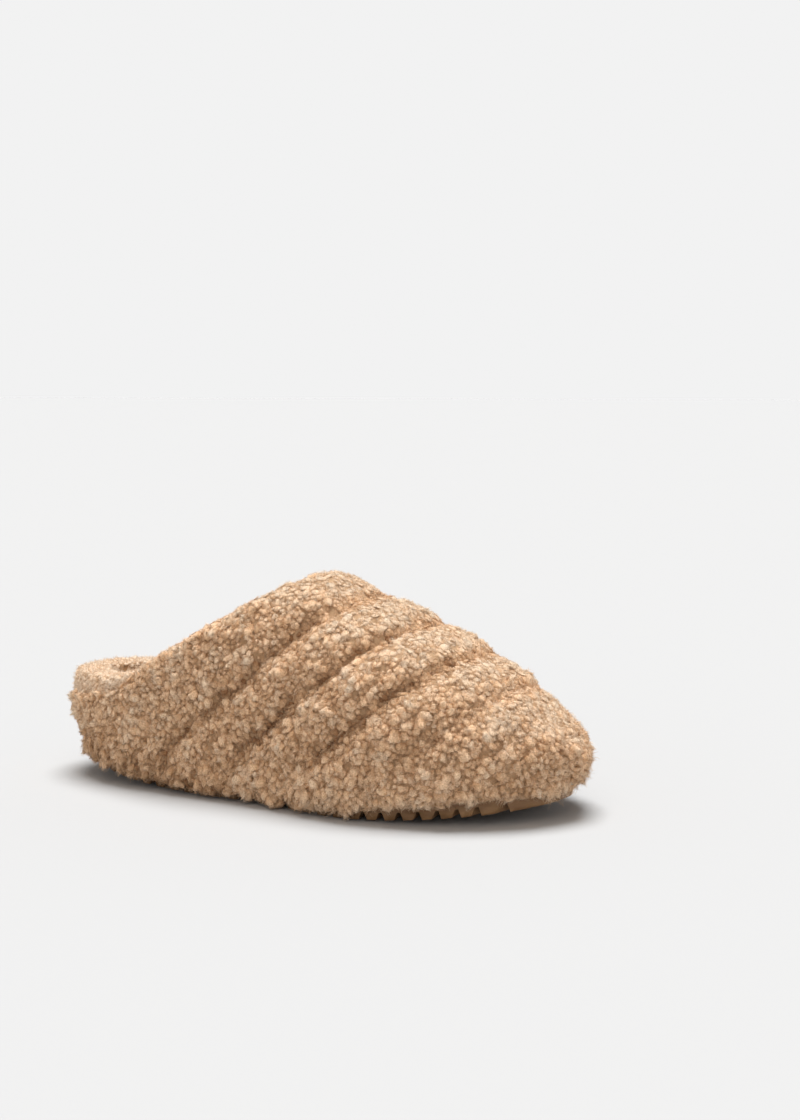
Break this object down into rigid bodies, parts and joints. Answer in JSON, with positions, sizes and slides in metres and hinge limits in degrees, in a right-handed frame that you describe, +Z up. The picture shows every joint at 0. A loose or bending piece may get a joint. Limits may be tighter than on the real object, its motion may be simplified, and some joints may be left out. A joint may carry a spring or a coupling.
{
  "type": "house slipper",
  "caption": "Closed-toe mule slipper for the right foot in quilted curly camel fleece, with a low heel wall and a thin lugged gum-rubber sole.",
  "frame": {"origin": "on the floor under the middle of the slipper's length", "axes": "+X to the toe, +Y to the inner (big-toe) side, +Z up"},
  "size_m": [0.2754, 0.1143, 0.1014],
  "materials": {
    "curly_fleece": "curly sherpa pile, camel",
    "lining_fleece": "short brushed fleece, pale camel",
    "wadding": "polyester wadding",
    "thread": "matte sewing thread",
    "gum_rubber": "matte gum rubber",
    "eva_foam": "closed-cell foam",
    "soft_foam": "open-cell foam",
    "fibre_board": "cellulose board",
    "stiffener": "thermoplastic sheet"
  },
  "bodies": {
    "root": {"outsole": "gum_rubber", "midsole": "eva_foam", "insole_board": "fibre_board", "footbed_foam": "soft_foam", "sock_lining": "lining_fleece", "collar_fleece": "curly_fleece", "vamp_fleece_1": "curly_fleece", "vamp_fleece_2": "curly_fleece", "vamp_fleece_3": "curly_fleece", "vamp_fleece_4": "curly_fleece", "collar_wadding": "wadding", "vamp_wadding_1": "wadding", "vamp_wadding_2": "wadding", "vamp_wadding_3": "wadding", "vamp_wadding_4": "wadding", "toe_puff": "stiffener", "heel_counter": "stiffener", "vamp_lining": "lining_fleece", "heel_lining": "lining_fleece", "heel_band": "lining_fleece", "seam_thread_1": "thread", "seam_thread_2": "thread", "seam_thread_3": "thread", "seam_thread_4": "thread"}
  },
  "joints": []
}
